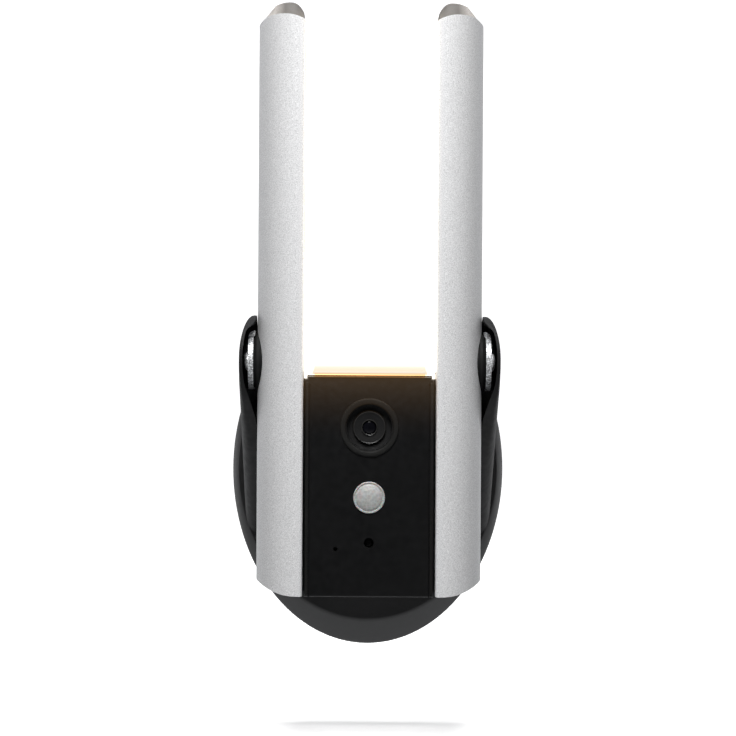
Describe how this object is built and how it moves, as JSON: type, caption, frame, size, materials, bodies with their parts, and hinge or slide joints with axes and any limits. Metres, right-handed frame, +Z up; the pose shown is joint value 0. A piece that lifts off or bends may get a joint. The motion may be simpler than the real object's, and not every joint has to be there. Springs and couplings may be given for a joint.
{
  "type": "floodlight security camera",
  "caption": "Wall-mounted outdoor lamp with a tall milky light between silver side covers, a camera and motion sensor below it, and a tilting head on an oval base.",
  "frame": {"origin": "middle of the oval base, on the plane of the wall", "axes": "+Z up, -Y away from the wall to the front, +X to the right as seen from the front"},
  "size_m": [0.1234, 0.112, 0.282],
  "materials": {
    "bezel_grey": "satin",
    "black_metal": "matte black powder coat",
    "black_panel": "smooth semi-matte",
    "black_rubber": "matte",
    "black_shell": "fine satin grain",
    "brass_parts": "plain",
    "button_red": "matte",
    "cap_grey": "satin",
    "chip_black": "moulded",
    "dark_clear": "smoked clear",
    "diode_light": "yellow phosphor",
    "foam": "matte closed-cell foam",
    "fresnel_plastic": "faceted, translucent",
    "green_board": "solder mask",
    "ivory_plastic": "matte",
    "lens_glass": "coated",
    "milky_light": "milky, lit from inside",
    "raw_aluminium": "bare",
    "screw_steel": "bright zinc",
    "silver_paint": "satin silver with fine speckle",
    "white_board": "white solder mask",
    "white_plastic": "matte",
    "zinc_steel": "zinc plated"
  },
  "bodies": {
    "wall_base": {"base_gland": "black_rubber", "base_screws": "screw_steel", "base_shell": "black_shell", "cable_grommet": "black_rubber", "left_arm": "black_metal", "left_pivot_tab": "zinc_steel", "right_arm": "black_metal", "right_pivot_tab": "zinc_steel", "tab_screws": "screw_steel", "tab_seats": "black_shell", "terminal_block": "ivory_plastic", "terminal_screws": "brass_parts", "wall_gasket": "foam", "wall_plate": "zinc_steel"},
    "lamp_head": {"antenna": "green_board", "camera_panel": "black_panel", "capacitors": "chip_black", "card_socket": "raw_aluminium", "door_pin": "screw_steel", "front_frame": "black_panel", "fuse": "ivory_plastic", "head_gland": "black_rubber", "heat_sink": "raw_aluminium", "housing_screws": "screw_steel", "housing_seal": "foam", "image_sensor": "chip_black", "led_board": "white_board", "led_emitters": "diode_light", "left_wing": "silver_paint", "left_wing_cap": "cap_grey", "lens_barrel": "black_metal", "lens_bezel": "bezel_grey", "lens_glass": "lens_glass", "lens_holder": "black_panel", "light_diffuser": "milky_light", "light_reflector": "white_plastic", "main_board": "green_board", "memory_card": "chip_black", "microphone": "raw_aluminium", "microphone_boot": "black_rubber", "motion_lens": "fresnel_plastic", "motion_sensor": "raw_aluminium", "pivot_hubs": "black_metal", "pivot_nuts": "screw_steel", "pivot_screws": "screw_steel", "pivot_spacers": "black_rubber", "power_board": "green_board", "power_board_legs": "black_panel", "radio_module": "raw_aluminium", "rear_housing": "black_metal", "reset_switch": "chip_black", "right_wing": "silver_paint", "right_wing_cap": "cap_grey", "service_board": "green_board", "speaker": "chip_black", "status_light_pipe": "dark_clear", "transformer": "ivory_plastic", "wing_end_plates": "cap_grey"},
    "service_door": {"card_door": "black_rubber"},
    "button": {"reset_button": "button_red"}
  },
  "joints": [
    {"name": "head_tilt", "type": "hinge", "parent": "wall_base", "child": "lamp_head", "pos_m": [0, -0.086, 0.0485], "axis": [1, 0, 0], "range_deg": [-20, 25]},
    {"name": "door_swing", "type": "hinge", "parent": "lamp_head", "child": "service_door", "pos_m": [0, -0.0733, -0.0495], "axis": [1, 0, 0], "range_deg": [0, 90]},
    {"name": "reset_press", "type": "slide", "parent": "lamp_head", "child": "button", "axis": [0, 0, 1], "range_m": [0, 0.0008], "stiffness_N_per_m": 400, "springref_m": -0.0005}
  ]
}
